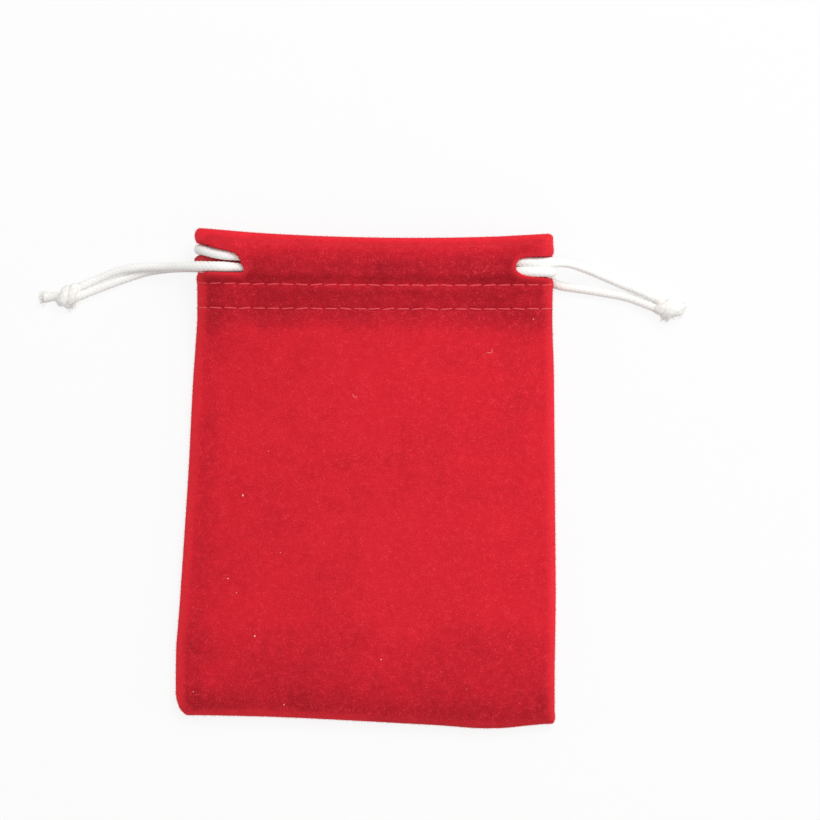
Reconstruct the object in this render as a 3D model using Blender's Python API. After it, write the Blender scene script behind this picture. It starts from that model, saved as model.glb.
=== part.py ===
"""Velvet drawstring pouch, lying on its back with the mouth towards +Y.

The pouch is one closed wall: an outer layer, turned in at the mouth and sewn
down inside by two rows of stitches. Between the fold and the upper row lies a
tunnel that runs all the way round, and a slot at each side fold opens it.
Two cords run through the tunnel, each one a whole loop tied off at its side.
Lengths are in metres, +Z is up, and the pouch rests on z = 0.
"""
import bmesh
import bpy
from math import cos, pi, sin, sqrt
from mathutils import Matrix, Vector

MM = 0.001

# Outline, seen from above
LENGTH = 118.9 * MM
WIDTH_BOTTOM = 93.4 * MM
WIDTH_HEADER = 87.3 * MM
HEADER_SHIFT = 2.35 * MM
MOUTH_SAG = 1.85 * MM
BOTTOM_SLANT = 1.35 * MM
BOTTOM_WAVE = 0.45 * MM
CENTRE_DROP = 0.527 * MM
CORNER_RADIUS_LEFT = 2.6 * MM
CORNER_RADIUS_RIGHT = 1.4 * MM
MOUTH_CORNER_RADIUS = 1.2 * MM
STRAIGHT_FOOT = 17.8 * MM
STRAIGHT_HEAD = 20.2 * MM

# Shares of the half width, and how fast the two end edges' shapes fade inwards
MOUTH_LOW_POINT = 0.2
SEAM_WAVES = 2.6
MOUTH_FADE = 12
LIFT_START = 0.64
LIFT_END = 0.94

# Cloth and cord
CLOTH = 0.8 * MM
CORD_DIAMETER = 2.0 * MM
CORD_CLEARANCE = 0.3 * MM
CONTACT_GAP = 0.3 * MM

# Hem, as distances below the mouth edge
TUNNEL_TOP = 1.0 * MM
TUNNEL_TOP_SLOPE = 2.3 * MM
TUNNEL_BOTTOM_SLOPE = 3.2 * MM
TUNNEL_END_SHARE = 0.29
UPPER_ROW = 11.7 * MM
ROW_SPACING = 5.7 * MM
HEM_TAIL = 2.2 * MM
STITCH_GROOVE = 0.3 * MM
GROOVE_WIDTH = 0.9 * MM

# Heights of the lying pouch
MOUTH_EDGE_GAP = 0.6 * MM
MOUTH_RISE = 4.1 * MM
BAND_RISE = 5.0 * MM
BAND_LIFT = 1.2 * MM
BODY_EDGE_HEIGHT = 4.4 * MM
BODY_RISE = 4.9 * MM
FOOT_RISE = 1.8 * MM
FOOT_RAMP = 14.5 * MM
BODY_SETTLE = 11.7 * MM
SIDE_LIFT = 2.4 * MM

# Mesh fineness
FACE_STEPS = 18
FOLD_STEPS = 7
FOOT_STEP = 1.3 * MM
CORD_STEP = 3.4 * MM

TUNNEL_DEPTH = CORD_DIAMETER + 2 * CORD_CLEARANCE
LOWER_ROW = UPPER_ROW + ROW_SPACING
HEM_DEPTH = LOWER_ROW + HEM_TAIL
FOOT_ROUND = BODY_EDGE_HEIGHT / 2
CORD_DEPTH = CLOTH + TUNNEL_DEPTH / 2
CORD_RADIUS = CORD_DIAMETER / 2


def clamp(x):
    return max(0.0, min(1.0, x))


def ease(x, start, end):
    """Rises smoothly from 0 at start to 1 at end."""
    t = clamp((x - start) / (end - start))
    return t * t * (3 - 2 * t)


def mix(a, b, t):
    return a + (b - a) * t


# Shape of the lying pouch, as functions of the drop below the mouth edge


def bulge(drop):
    """How far the tunnel is open: 0 where the two layers touch, 1 in its middle."""
    opens = ease(drop, TUNNEL_TOP, TUNNEL_TOP + TUNNEL_TOP_SLOPE)
    return opens * (1 - ease(drop, UPPER_ROW - TUNNEL_BOTTOM_SLOPE, UPPER_ROW))


def groove(drop):
    """Dent that the thread pulls into the cloth along each row."""
    near = min(abs(drop - UPPER_ROW), abs(drop - LOWER_ROW))
    return STITCH_GROOVE * (1 - ease(near, 0, GROOVE_WIDTH))


def edge_half(drop):
    """Half the height of the pouch at its side folds."""
    hem = MOUTH_EDGE_GAP / 2 + 2 * CLOTH + TUNNEL_DEPTH * bulge(drop)
    body = BODY_EDGE_HEIGHT / 2
    return mix(hem, body, ease(drop, LOWER_ROW, HEM_DEPTH + BODY_SETTLE / 2))


def rise(drop):
    """How far the front stands up in the middle over its side folds."""
    header = mix(MOUTH_RISE, BAND_RISE, ease(drop, UPPER_ROW - ROW_SPACING, UPPER_ROW))
    body = mix(BODY_RISE, FOOT_RISE, clamp((drop - HEM_DEPTH) / (LENGTH - HEM_DEPTH)))
    whole = mix(header, body, ease(drop, LOWER_ROW, HEM_DEPTH + ROW_SPACING))
    return whole * (1 - ease(drop, LENGTH - FOOT_RAMP, LENGTH - FOOT_ROUND / 2))


def middle_height(drop):
    """Height of the plane half way between front and back at the side folds."""
    open_share = 1.0 if drop < UPPER_ROW / 2 else bulge(drop)
    header = MOUTH_EDGE_GAP / 2 + 2 * CLOTH + mix(BAND_LIFT, TUNNEL_DEPTH, open_share)
    return mix(header, BODY_EDGE_HEIGHT / 2, ease(drop, UPPER_ROW + ROW_SPACING / 2, HEM_DEPTH + BODY_SETTLE))


def side_lift(drop, across):
    """The header's side folds stand clear of the floor, over the cord that leaves there."""
    along = 1 - ease(drop, UPPER_ROW + ROW_SPACING / 2, HEM_DEPTH + BODY_SETTLE)
    return SIDE_LIFT * along * ease(abs(across), LIFT_START, LIFT_END)


def corner(distance, radius):
    """How far a rounded corner draws the side in, at a distance from the end edge."""
    if distance >= radius:
        return 0.0
    return radius - sqrt(max(0.0, radius ** 2 - (radius - distance) ** 2))


def sides(drop):
    """Left and right edge of the pouch."""
    up = clamp((LENGTH - STRAIGHT_FOOT - drop) / (LENGTH - STRAIGHT_FOOT - STRAIGHT_HEAD))
    half = mix(WIDTH_BOTTOM, WIDTH_HEADER, up) / 2
    shift = HEADER_SHIFT * up
    foot = LENGTH - drop
    left = shift - half + corner(foot, CORNER_RADIUS_LEFT) + corner(drop, MOUTH_CORNER_RADIUS)
    right = shift + half - corner(foot, CORNER_RADIUS_RIGHT) - corner(drop, MOUTH_CORNER_RADIUS)
    return left, right


def place_y(drop, across):
    """Where a point lies between the slanting bottom seam and the sagging mouth edge."""
    up = 1 - drop / LENGTH
    seam = -BOTTOM_SLANT * across - BOTTOM_WAVE * sin(SEAM_WAVES * across)
    mouth = MOUTH_SAG * (across - MOUTH_LOW_POINT) ** 2
    return LENGTH * (up - 0.5) - CENTRE_DROP + seam * (1 - up) ** 2 + mouth * up ** MOUTH_FADE


def point(drop, girth, depth, half=None):
    """A point in the wall: girth runs -1..1 across the front, 1..2 round the right
    fold, 2..4 back across the back and 4..5 round the left fold."""
    left, right = sides(drop)
    centre = (left + right) / 2
    width = (right - left) / 2
    outer = edge_half(drop) if half is None else half
    height = outer - depth
    turn = pi / 2
    if girth <= 1:
        x = (width - outer) * girth
    elif girth < 2:
        turn = pi / 2 - (girth - 1) * pi
        x = (width - outer) + height * cos(turn)
    elif girth <= 4:
        turn = -pi / 2
        x = (width - outer) * (3 - girth)
    else:
        turn = -pi / 2 + (girth - 4) * pi
        x = -(width - outer) - height * cos(turn)
    across = x / width
    z = middle_height(drop) + height * sin(turn)
    z += rise(drop) * (1 - across ** 2) * max(0.0, sin(turn))
    z += side_lift(drop, across)
    if depth == 0 and half is None:
        z -= groove(drop) * sin(turn)
    return Vector((centre + x, place_y(drop, across), z))


def girths():
    front = [-1 + 2 * i / FACE_STEPS for i in range(FACE_STEPS + 1)]
    right = [1 + i / FOLD_STEPS for i in range(1, FOLD_STEPS)]
    back = [2 + 2 * i / FACE_STEPS for i in range(FACE_STEPS + 1)]
    left = [4 + i / FOLD_STEPS for i in range(1, FOLD_STEPS)]
    return front + right + back + left


def ring(drop, depth, half=None):
    return [point(drop, g, depth, half) for g in girths()]


# Building


def collection(name):
    made = bpy.data.collections.new(name)
    bpy.context.scene.collection.children.link(made)
    return made


def material(name, colour, roughness):
    made = bpy.data.materials.new(name)
    made.use_nodes = True
    shader = made.node_tree.nodes["Principled BSDF"]
    shader.inputs["Base Color"].default_value = (*colour, 1)
    shader.inputs["Roughness"].default_value = roughness
    shader.inputs["Metallic"].default_value = 0.0
    return made


def zip_ring(mesh, loop):
    """Closes a flat ring by joining its front points to the back points below them."""
    count = len(loop)
    start = count - FOLD_STEPS // 2
    for i in range(count // 2 - 1):
        a = loop[(start + i) % count]
        b = loop[(start + i + 1) % count]
        c = loop[(start - i - 2) % count]
        d = loop[(start - i - 1) % count]
        mesh.faces.new((a, b, c, d))


def loft(name, rings, into, closed_path=False):
    """A skin through the rings, closed at both ends or joined end to end."""
    mesh = bmesh.new()
    loops = [[mesh.verts.new(p) for p in one] for one in rings]
    pairs = list(zip(loops, loops[1:]))
    if closed_path:
        pairs.append((loops[-1], loops[0]))
    for lower, upper in pairs:
        for i in range(len(lower)):
            j = (i + 1) % len(lower)
            mesh.faces.new((lower[i], lower[j], upper[j], upper[i]))
    if not closed_path:
        zip_ring(mesh, loops[0])
        zip_ring(mesh, loops[-1])
    bmesh.ops.recalc_face_normals(mesh, faces=mesh.faces)
    data = bpy.data.meshes.new(name)
    mesh.to_mesh(data)
    mesh.free()
    made = bpy.data.objects.new(name, data)
    into.objects.link(made)
    return made


def boolean(target, tool, operation):
    step = target.modifiers.new(f"{operation.lower()} {tool.name}", "BOOLEAN")
    step.operation = operation
    step.solver = "EXACT"
    step.object = tool


def hide_cutter(tool):
    tool.hide_render = True
    tool.display_type = "WIRE"


def steps(start, end, count):
    return [start + (end - start) * i / count for i in range(count + 1)]


def foot_rings(depth, count):
    """Rings round the bottom edge, from its tip up to the full height."""
    made = []
    for turn in steps(pi / 14, pi / 2, count):
        drop = LENGTH - FOOT_ROUND + (FOOT_ROUND - depth) * cos(turn)
        half = (FOOT_ROUND - depth) * sin(turn) + depth
        made.append(ring(drop, depth, half))
    return made


def pouch_rings():
    """Outer face from the bottom to the mouth, over the fold and down the inside."""
    rim = 2 * CLOTH
    body_top = HEM_DEPTH + GROOVE_WIDTH
    rings = foot_rings(0, 4)
    rings += [ring(d, 0) for d in steps(LENGTH - FOOT_ROUND - FOOT_STEP, body_top, 11)]
    for row in (LOWER_ROW, UPPER_ROW):
        rings += [ring(row + GROOVE_WIDTH * k, 0) for k in (1, 0.5, 0, -0.5, -1)]
    tunnel = UPPER_ROW - GROOVE_WIDTH
    rings += [ring(d, 0) for d in steps(tunnel - GROOVE_WIDTH, rim, 8)]
    for turn in steps(pi / 6, pi * 5 / 6, 4):
        drop = CLOTH - CLOTH * sin(turn)
        rings.append(ring(drop, CLOTH - CLOTH * cos(turn), edge_half(0)))
    for d in steps(CLOTH, UPPER_ROW, 9):
        rings.append(ring(d, 2 * CLOTH + TUNNEL_DEPTH * bulge(d)))
    rings += [ring(d, 2 * CLOTH) for d in steps(UPPER_ROW + ROW_SPACING / 2, HEM_DEPTH, 2)]
    inside_end = LENGTH - FOOT_ROUND - FOOT_STEP
    rings += [ring(d, CLOTH) for d in steps(HEM_DEPTH + CLOTH / 2, inside_end, 9)]
    return rings + foot_rings(CLOTH, 3)[::-1]


def tunnel_rings():
    """The room between the two layers, all the way round."""
    top = TUNNEL_TOP + TUNNEL_TOP_SLOPE * TUNNEL_END_SHARE
    bottom = UPPER_ROW - TUNNEL_BOTTOM_SLOPE * TUNNEL_END_SHARE
    drops = steps(top, bottom, 9)
    outside = [ring(d, CLOTH) for d in drops]
    inside = [ring(d, CLOTH + TUNNEL_DEPTH * bulge(d)) for d in reversed(drops)]
    return outside + inside


def core_rings():
    """What lies deeper than the middle of the tunnel, which the slots leave alone."""
    drops = steps(TUNNEL_TOP, LOWER_ROW, 14)
    return [ring(d, CLOTH + TUNNEL_DEPTH * bulge(d) / 2) for d in drops]


def through(points, count):
    """Points on a smooth curve through the given ones, count to each span."""
    ends = [2 * points[0] - points[1]] + points + [2 * points[-1] - points[-2]]
    made = []
    for p0, p1, p2, p3 in zip(ends, ends[1:], ends[2:], ends[3:]):
        k1 = sqrt((p1 - p0).length)
        k2 = k1 + sqrt((p2 - p1).length)
        k3 = k2 + sqrt((p3 - p2).length)
        for i in range(count):
            t = mix(k1, k2, i / count)
            a1 = p0 * ((k1 - t) / k1) + p1 * (t / k1)
            a2 = p1 * ((k2 - t) / (k2 - k1)) + p2 * ((t - k1) / (k2 - k1))
            a3 = p2 * ((k3 - t) / (k3 - k2)) + p3 * ((t - k2) / (k3 - k2))
            b1 = a1 * ((k2 - t) / k2) + a2 * (t / k2)
            b2 = a2 * ((k3 - t) / (k3 - k1)) + a3 * ((t - k1) / (k3 - k1))
            made.append(b1 * ((k2 - t) / (k2 - k1)) + b2 * ((t - k1) / (k2 - k1)))
    return made + [points[-1]]


def evenly(points, step):
    """The same curve, read at equal steps along it."""
    total = sum((b - a).length for a, b in zip(points, points[1:]))
    count = round(total / step)
    gap = total / count
    made = [points[0]]
    walked = 0.0
    for a, b in zip(points, points[1:]):
        span = (b - a).length
        while walked + span >= gap * len(made) and len(made) < count:
            made.append(a.lerp(b, (gap * len(made) - walked) / span))
        walked += span
    return made + [points[-1]]


def outline_mesh(name, outline, height, into):
    """A flat outline made solid, as a mesh that can cut."""
    curve = bpy.data.curves.new(name, "CURVE")
    curve.dimensions = "2D"
    curve.fill_mode = "BOTH"
    curve.extrude = height / 2
    spline = curve.splines.new("POLY")
    spline.points.add(len(outline) - 1)
    for place, (x, y) in zip(spline.points, outline):
        place.co = (x, y, 0, 1)
    spline.use_cyclic_u = True
    guide = bpy.data.objects.new(name + "_outline", curve)
    guide.location.z = height / 2 - CLOTH
    into.objects.link(guide)
    bpy.context.view_layer.update()
    data = bpy.data.meshes.new_from_object(guide.evaluated_get(bpy.context.evaluated_depsgraph_get()))
    welded = bmesh.new()
    welded.from_mesh(data)
    bmesh.ops.remove_doubles(welded, verts=welded.verts, dist=0.00001)
    bmesh.ops.recalc_face_normals(welded, faces=welded.faces)
    welded.to_mesh(data)
    welded.free()
    made = bpy.data.objects.new(name, data)
    made.matrix_world = guide.matrix_world
    into.objects.link(made)
    bpy.data.objects.remove(guide)
    return made


# Side slots: the edge of each cut, as distances in from the side fold and down from
# the mouth edge, from the fold along the top, round the inner end and back
SLOT_OUTSIDE = 12 * MM
SLOT_LEFT = ((-0.5, 2.7), (4.4, 3.6), (8.5, 4.1), (10.1, 5.1), (10.8, 6.8), (10.1, 8.4), (8.3, 9.1), (-0.5, 9.5))
SLOT_RIGHT = ((-0.4, 5.0), (6.8, 4.8), (8.8, 5.2), (9.8, 6.9), (9.0, 9.1), (6.8, 10.0), (-0.4, 10.4))


def slot_outline(edge, direction):
    """The cut's outline in plan, carried on past the side fold."""
    places = []
    for inset, drop in edge:
        left, right = sides(drop * MM)
        x = left + inset * MM if direction < 0 else right - inset * MM
        across = (2 * x - left - right) / (right - left)
        places.append(Vector((x, place_y(drop * MM, across))))
    smooth = through(places, 3)
    out = direction * SLOT_OUTSIDE
    return [(smooth[0].x + out, smooth[0].y), *((p.x, p.y) for p in smooth), (smooth[-1].x + out, smooth[-1].y)]


def build_pouch(parts, cutters, velvet):
    pouch = loft("pouch", pouch_rings(), parts)
    pouch.data.materials.append(velvet)
    tunnel = loft("tunnel_room", tunnel_rings(), cutters, closed_path=True)
    core = loft("hem_core", core_rings(), cutters)
    boolean(pouch, tunnel, "DIFFERENCE")
    tall = 4 * edge_half(UPPER_ROW / 2) + 2 * MOUTH_RISE
    for name, edge, direction in (("slot_left", SLOT_LEFT, -1), ("slot_right", SLOT_RIGHT, 1)):
        slot = outline_mesh(name, slot_outline(edge, direction), tall, cutters)
        boolean(slot, core, "DIFFERENCE")
        boolean(pouch, slot, "DIFFERENCE")
        hide_cutter(slot)
    hide_cutter(tunnel)
    hide_cutter(core)
    pouch.data.shade_smooth()
    return pouch


# Routes of the two cords. A pair is a place in the tunnel, as girth and drop in
# millimetres below the mouth edge; three numbers are a place in space, in millimetres.
LEFT_ROUTE = (
    (-70.1, 47.4, 1.7), (-66.0, 49.25, 1.25), (-61.4, 51.0, 1.85), (-57.6, 51.8, 2.7), (-53.6, 52.15, 3.15),
    (-49.4, 52.1, 4.2), (-44.6, 52.1, 6.8), (-0.985, 8.0), (-0.85, 8.0), (-0.7, 8.0), (-0.5, 7.8),
    (-0.25, 7.4), (0, 7.2), (0.25, 7.4), (0.5, 7.7), (0.7, 8.1), (0.85, 8.4), (41.0, 50.6, 10.1),
    (44.3, 50.6, 9.3), (45.6, 50.6, 7.0), (44.4, 50.7, 4.8), (41.2, 50.8, 4.1), (2.15, 8.2), (2.35, 7.9),
    (2.6, 7.6), (3.0, 7.3), (3.4, 7.4), (3.65, 7.8), (3.84, 7.9), (-38.6, 52.0, 4.2), (-43.6, 51.9, 2.5),
    (-49.0, 51.7, 1.1), (-54.2, 50.9, 1.05), (-59.6, 49.2, 1.05), (-65.2, 47.15, 1.1), (-70.0, 45.25, 1.45),
)
RIGHT_ROUTE = (
    (71.5, 44.3, 1.9), (67.4, 46.1, 1.8), (63.2, 47.8, 1.2), (58.4, 49.9, 1.75), (54.0, 51.6, 3.6),
    (49.4, 52.8, 6.4), (0.985, 6.4), (0.85, 6.0), (0.7, 5.7), (0.5, 5.3), (0.25, 4.9), (0, 4.6),
    (-0.25, 4.8), (-0.5, 5.2), (-0.7, 5.5), (-0.85, 5.5), (-36.4, 55.1, 10.0), (-39.4, 55.9, 9.1),
    (-40.8, 56.2, 6.6), (-39.6, 56.0, 3.8), (-36.6, 55.5, 2.75), (-33.6, 55.0, 2.8), (3.82, 5.6), (3.6, 5.4),
    (3.3, 4.8), (3.0, 4.6), (2.7, 4.8), (2.45, 5.2), (2.28, 5.5), (36.4, 53.4, 3.25), (39.0, 53.1, 2.7),
    (41.4, 51.8, 1.45), (43.8, 49.6, 1.08), (47.8, 47.6, 1.05), (53.0, 46.7, 1.05), (58.6, 45.8, 1.05),
    (64.6, 44.6, 1.1), (71.1, 42.15, 1.5),
)


def route_points(route):
    made = []
    for place in route:
        if len(place) == 2:
            made.append(point(place[1] * MM, place[0], CORD_DEPTH))
        else:
            made.append(Vector(place) * MM)
    return evenly(through(made, 8), CORD_STEP)


def build_cord(name, route, parts, finish):
    curve = bpy.data.curves.new(name, "CURVE")
    curve.dimensions = "3D"
    curve.bevel_depth = CORD_RADIUS
    curve.bevel_resolution = 2
    curve.use_fill_caps = True
    places = route_points(route)
    spline = curve.splines.new("POLY")
    spline.points.add(len(places) - 1)
    for place, p in zip(spline.points, places):
        place.co = (*p, 1)
    curve.materials.append(finish)
    made = bpy.data.objects.new(name, curve)
    parts.objects.link(made)
    return made


# Knots: a rounded lump with a wrap over it, and the two cut ends of the cord
KNOT_LENGTH = 6.2 * MM
KNOT_WIDTH = 5.4 * MM
KNOT_HEIGHT = 4.4 * MM
KNOT_LEFT = (-73.4, 45.1)
KNOT_RIGHT = (74.5, 41.9)
TAILS_LEFT = (((-75.0, 44.9), (-79.6, 44.4)), ((-74.0, 44.0), (-72.1, 41.8)))
TAILS_RIGHT = (((75.8, 41.7), (78.2, 41.2)), ((74.4, 40.6), (74.4, 39.1)))


def tail(name, places, into):
    """A short length of cord from inside the knot to its cut end."""
    mesh = bmesh.new()
    start, end = (Vector((x * MM, y * MM, CORD_RADIUS + CONTACT_GAP / 3)) for x, y in places)
    run = end - start
    bmesh.ops.create_cone(mesh, cap_ends=True, segments=10, radius1=CORD_RADIUS, radius2=CORD_RADIUS * 1.08,
                          depth=run.length)
    aim = run.to_track_quat("Z", "Y").to_matrix().to_4x4()
    bmesh.ops.transform(mesh, matrix=Matrix.Translation(start + run / 2) @ aim, verts=mesh.verts)
    data = bpy.data.meshes.new(name)
    mesh.to_mesh(data)
    mesh.free()
    piece = bpy.data.objects.new(name, data)
    into.objects.link(piece)
    hide_cutter(piece)
    return piece


def build_knot(name, centre, lean, tails, parts, tools, finish):
    mesh = bmesh.new()
    bmesh.ops.create_uvsphere(mesh, u_segments=20, v_segments=12, radius=0.5)
    shape = Matrix.Diagonal((KNOT_LENGTH, KNOT_WIDTH, KNOT_HEIGHT, 1))
    low = CONTACT_GAP / 3
    place = Matrix.Translation((centre[0] * MM, centre[1] * MM, KNOT_HEIGHT / 2 + low))
    bmesh.ops.transform(mesh, matrix=place @ Matrix.Rotation(lean, 4, "Z") @ shape, verts=mesh.verts)
    data = bpy.data.meshes.new(name)
    mesh.to_mesh(data)
    mesh.free()
    knot = bpy.data.objects.new(name, data)
    parts.objects.link(knot)
    knot.data.materials.append(finish)
    for number, places in enumerate(tails):
        boolean(knot, tail(f"{name}_tail_{number + 1}", places, tools), "UNION")
    knot.data.shade_smooth()
    return knot


def build():
    for old in list(bpy.data.objects):
        bpy.data.objects.remove(old, do_unlink=True)
    parts = collection("drawstring_pouch")
    tools = collection("cutters")
    velvet = material("red_velvet", (0.672, 0.019, 0.033), 0.9)
    braid = material("cream_braid", (0.86, 0.83, 0.77), 0.75)
    build_pouch(parts, tools, velvet)
    build_cord("drawstring_left", LEFT_ROUTE, parts, braid)
    build_cord("drawstring_right", RIGHT_ROUTE, parts, braid)
    build_knot("knot_left", KNOT_LEFT, 0.35, TAILS_LEFT, parts, tools, braid)
    build_knot("knot_right", KNOT_RIGHT, -0.35, TAILS_RIGHT, parts, tools, braid)


build()
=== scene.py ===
# %% [markdown]
# # A small velvet drawstring pouch
# The pouch lies on its back, as it would on a table, with its cords drawn out to both
# sides. The packed solids come in first as a fixed frame. Every soft piece below is made
# where its solid is, so nothing has to be fitted by eye afterwards.

# %% Bring in the packed solids
from math import acos, cos, exp, pi, sin, sqrt

import bmesh
import bpy
from mathutils import Matrix, Vector, noise


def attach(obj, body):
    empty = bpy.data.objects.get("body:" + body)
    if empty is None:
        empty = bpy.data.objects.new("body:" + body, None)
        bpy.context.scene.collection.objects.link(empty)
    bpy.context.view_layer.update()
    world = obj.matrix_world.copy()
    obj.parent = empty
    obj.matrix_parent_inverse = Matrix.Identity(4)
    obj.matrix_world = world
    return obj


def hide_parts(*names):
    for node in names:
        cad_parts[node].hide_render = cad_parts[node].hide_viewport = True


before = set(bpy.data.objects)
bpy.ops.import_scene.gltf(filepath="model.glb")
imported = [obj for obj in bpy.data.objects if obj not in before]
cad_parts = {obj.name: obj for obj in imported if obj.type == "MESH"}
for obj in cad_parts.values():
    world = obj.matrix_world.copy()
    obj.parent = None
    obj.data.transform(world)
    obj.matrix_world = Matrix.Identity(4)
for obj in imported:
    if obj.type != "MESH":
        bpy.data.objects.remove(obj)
bpy.context.view_layer.update()
MM = 0.001

# %% [markdown]
# The camera looks straight down, as when someone photographs a flat thing on a table. A
# long lens far away keeps the raised mouth the same size as the flat bottom; a short lens
# close by would swell it.

# %% Camera
LENS = 135
SENSOR = 36
VIEW_WIDTH = 202.2 * MM
VIEW_CENTRE = (10.9 * MM, 16.85 * MM)
VIEW_PLANE = 2.2 * MM

camera = bpy.data.objects.new("camera", bpy.data.cameras.new("camera"))
camera.data.lens = LENS
camera.data.sensor_width = SENSOR
camera.data.clip_start = 0.05
camera.location = (*VIEW_CENTRE, VIEW_PLANE + VIEW_WIDTH * LENS / SENSOR)
bpy.context.scene.collection.objects.link(camera)
bpy.context.scene.camera = camera
print("camera height", round(camera.location.z, 3), "m")

# %% [markdown]
# Most of the pouch follows one rule. Any place on the cloth is named by three numbers:
# how far it is below the mouth edge (the drop), how far round the pouch it is (the girth),
# and how deep in the thickness. The rule turns them into a place in space. The mouth, the
# stitch rows, the slots and the run of the cords all use it, so they always agree.

# %% Sizes of the pouch
LENGTH = 118.9 * MM
WIDTH_BOTTOM = 93.4 * MM
WIDTH_HEADER = 87.3 * MM
HEADER_SHIFT = 2.35 * MM
MOUTH_SAG = 1.85 * MM
MOUTH_LOW_POINT = 0.2
BOTTOM_SLANT = 1.35 * MM
BOTTOM_WAVE = 0.45 * MM
CENTRE_DROP = 0.527 * MM
SEAM_WAVES = 2.6
MOUTH_FADE = 12
CORNER_LEFT = (4.0 * MM, 6.0 * MM)
CORNER_RADIUS_RIGHT = 1.4 * MM
MOUTH_CORNER_RADIUS = 1.2 * MM
STRAIGHT_FOOT = 17.8 * MM
STRAIGHT_HEAD = 20.2 * MM
CLOTH = 0.8 * MM
CORD_DIAMETER = 2.0 * MM
TUNNEL_DEPTH = CORD_DIAMETER + 0.6 * MM
CORD_DEPTH = CLOTH + TUNNEL_DEPTH / 2
TUNNEL_TOP = 1.0 * MM
TUNNEL_TOP_SLOPE = 2.3 * MM
TUNNEL_BOTTOM_SLOPE = 3.2 * MM
UPPER_ROW = 11.7 * MM
ROW_SPACING = 5.7 * MM
LOWER_ROW = UPPER_ROW + ROW_SPACING
HEM_DEPTH = LOWER_ROW + 2.2 * MM
STITCH_GROOVE = 0.3 * MM
GROOVE_WIDTH = 0.9 * MM
MOUTH_EDGE_GAP = 0.6 * MM
MOUTH_RISE = 4.1 * MM
BAND_RISE = 5.0 * MM
BAND_LIFT = 1.2 * MM
BODY_EDGE_HEIGHT = 4.4 * MM
BODY_RISE = 4.9 * MM
FOOT_RISE = 1.8 * MM
FOOT_RAMP = 14.5 * MM
FOOT_ROUND = BODY_EDGE_HEIGHT / 2
BODY_SETTLE = 11.7 * MM
SIDE_LIFT = 2.4 * MM
LIFT_START = 0.64
LIFT_END = 0.94
print("pouch", LENGTH, "m long,", WIDTH_BOTTOM, "m wide at the bottom")


# %% The rule of the pouch's form
def clamp(x):
    return max(0.0, min(1.0, x))


def ease(x, start, end):
    t = clamp((x - start) / (end - start))
    return t * t * (3 - 2 * t)


def mix(a, b, t):
    return a + (b - a) * t


def bell(x, middle, width):
    """1 at the middle, fading to 0 on both sides."""
    return exp(-((x - middle) / width) ** 2)


def bulge(drop):
    """0 where the two layers of the hem touch, 1 where the cord tunnel is open."""
    opens = ease(drop, TUNNEL_TOP, TUNNEL_TOP + TUNNEL_TOP_SLOPE)
    return opens * (1 - ease(drop, UPPER_ROW - TUNNEL_BOTTOM_SLOPE, UPPER_ROW))


def groove(drop):
    near = min(abs(drop - UPPER_ROW), abs(drop - LOWER_ROW))
    return STITCH_GROOVE * (1 - ease(near, 0, GROOVE_WIDTH))


def edge_half(drop):
    hem = MOUTH_EDGE_GAP / 2 + 2 * CLOTH + TUNNEL_DEPTH * bulge(drop)
    return mix(hem, BODY_EDGE_HEIGHT / 2, ease(drop, LOWER_ROW, HEM_DEPTH + BODY_SETTLE / 2))


def rise(drop):
    header = mix(MOUTH_RISE, BAND_RISE, ease(drop, UPPER_ROW - ROW_SPACING, UPPER_ROW))
    body = mix(BODY_RISE, FOOT_RISE, clamp((drop - HEM_DEPTH) / (LENGTH - HEM_DEPTH)))
    whole = mix(header, body, ease(drop, LOWER_ROW, HEM_DEPTH + ROW_SPACING))
    return whole * (1 - ease(drop, LENGTH - FOOT_RAMP, LENGTH - FOOT_ROUND / 2))


def middle_height(drop):
    open_share = 1.0 if drop < UPPER_ROW / 2 else bulge(drop)
    header = MOUTH_EDGE_GAP / 2 + 2 * CLOTH + mix(BAND_LIFT, TUNNEL_DEPTH, open_share)
    settled = ease(drop, UPPER_ROW + ROW_SPACING / 2, HEM_DEPTH + BODY_SETTLE)
    return mix(header, BODY_EDGE_HEIGHT / 2, settled)


def side_lift(drop, across):
    along = 1 - ease(drop, UPPER_ROW + ROW_SPACING / 2, HEM_DEPTH + BODY_SETTLE)
    return SIDE_LIFT * along * ease(abs(across), LIFT_START, LIFT_END)


def corner(distance, radius):
    if distance >= radius:
        return 0.0
    return radius - sqrt(max(0.0, radius ** 2 - (radius - distance) ** 2))


def sides(drop):
    """Left and right edge of the pouch at this drop."""
    up = clamp((LENGTH - STRAIGHT_FOOT - drop) / (LENGTH - STRAIGHT_FOOT - STRAIGHT_HEAD))
    half = mix(WIDTH_BOTTOM, WIDTH_HEADER, up) / 2
    shift = HEADER_SHIFT * up
    foot = LENGTH - drop
    wide, tall = CORNER_LEFT
    left = shift - half + corner(foot, tall) * wide / tall + corner(drop, MOUTH_CORNER_RADIUS)
    right = shift + half - corner(foot, CORNER_RADIUS_RIGHT) - corner(drop, MOUTH_CORNER_RADIUS)
    return left, right


def place_y(drop, across):
    up = 1 - drop / LENGTH
    seam = -BOTTOM_SLANT * across - BOTTOM_WAVE * sin(SEAM_WAVES * across)
    mouth = MOUTH_SAG * (across - MOUTH_LOW_POINT) ** 2
    return LENGTH * (up - 0.5) - CENTRE_DROP + seam * (1 - up) ** 2 + mouth * up ** MOUTH_FADE


def turn_of(girth):
    """Which way the cloth faces: pi / 2 is up on the front, 0 out at a side fold, -pi / 2 down."""
    if girth <= 2:
        return pi / 2 - max(0.0, girth - 1) * pi
    return max(0.0, girth - 4) * pi - pi / 2


def flat_of(girth):
    """Where a place lies between the side folds, -1 at the left one to 1 at the right one."""
    return min(1.0, girth) if girth <= 2 else max(-1.0, 3 - girth)


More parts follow.
